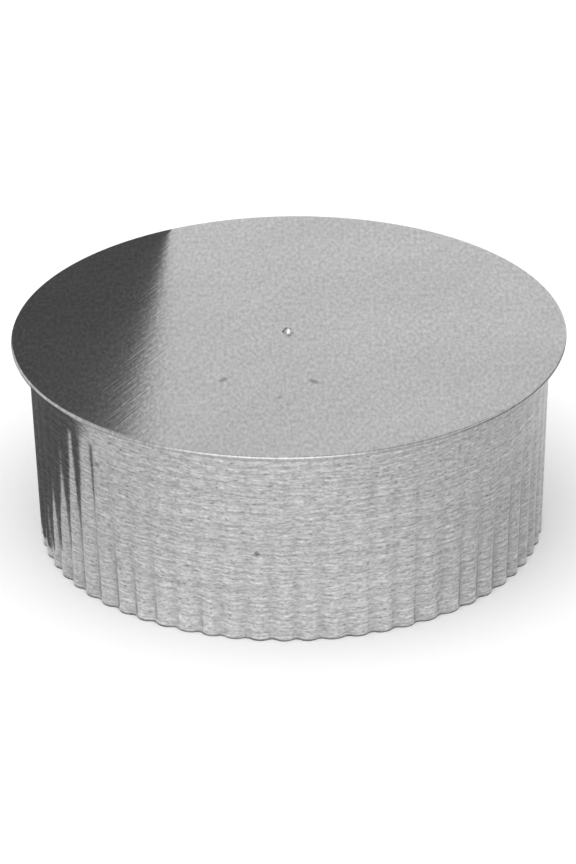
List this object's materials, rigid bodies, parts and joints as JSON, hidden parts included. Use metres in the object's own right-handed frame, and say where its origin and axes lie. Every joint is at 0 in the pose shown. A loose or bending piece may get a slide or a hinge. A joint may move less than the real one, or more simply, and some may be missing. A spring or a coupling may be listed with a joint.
{
  "type": "duct end cap",
  "caption": "Round galvanised steel end cap for a sheet-metal duct: a hemmed disc on a crimped collar that slips inside the duct's open end and closes it.",
  "frame": {"origin": "on the cap's axis, in the plane of the collar's open edge, on which the cap stands", "axes": "+Z along the cap's axis from the open edge to the disc, +Y towards the collar's lap seam at the back"},
  "size_m": [0.162, 0.162, 0.064],
  "materials": {
    "galvanised_disc": "temper-rolled zinc coating, satin, fine diagonal rolling grain",
    "galvanised_collar": "temper-rolled zinc coating, satin, fine grain that runs round the collar"
  },
  "bodies": {
    "root": {"end_disc": "galvanised_disc", "crimped_collar": "galvanised_collar"}
  },
  "joints": []
}
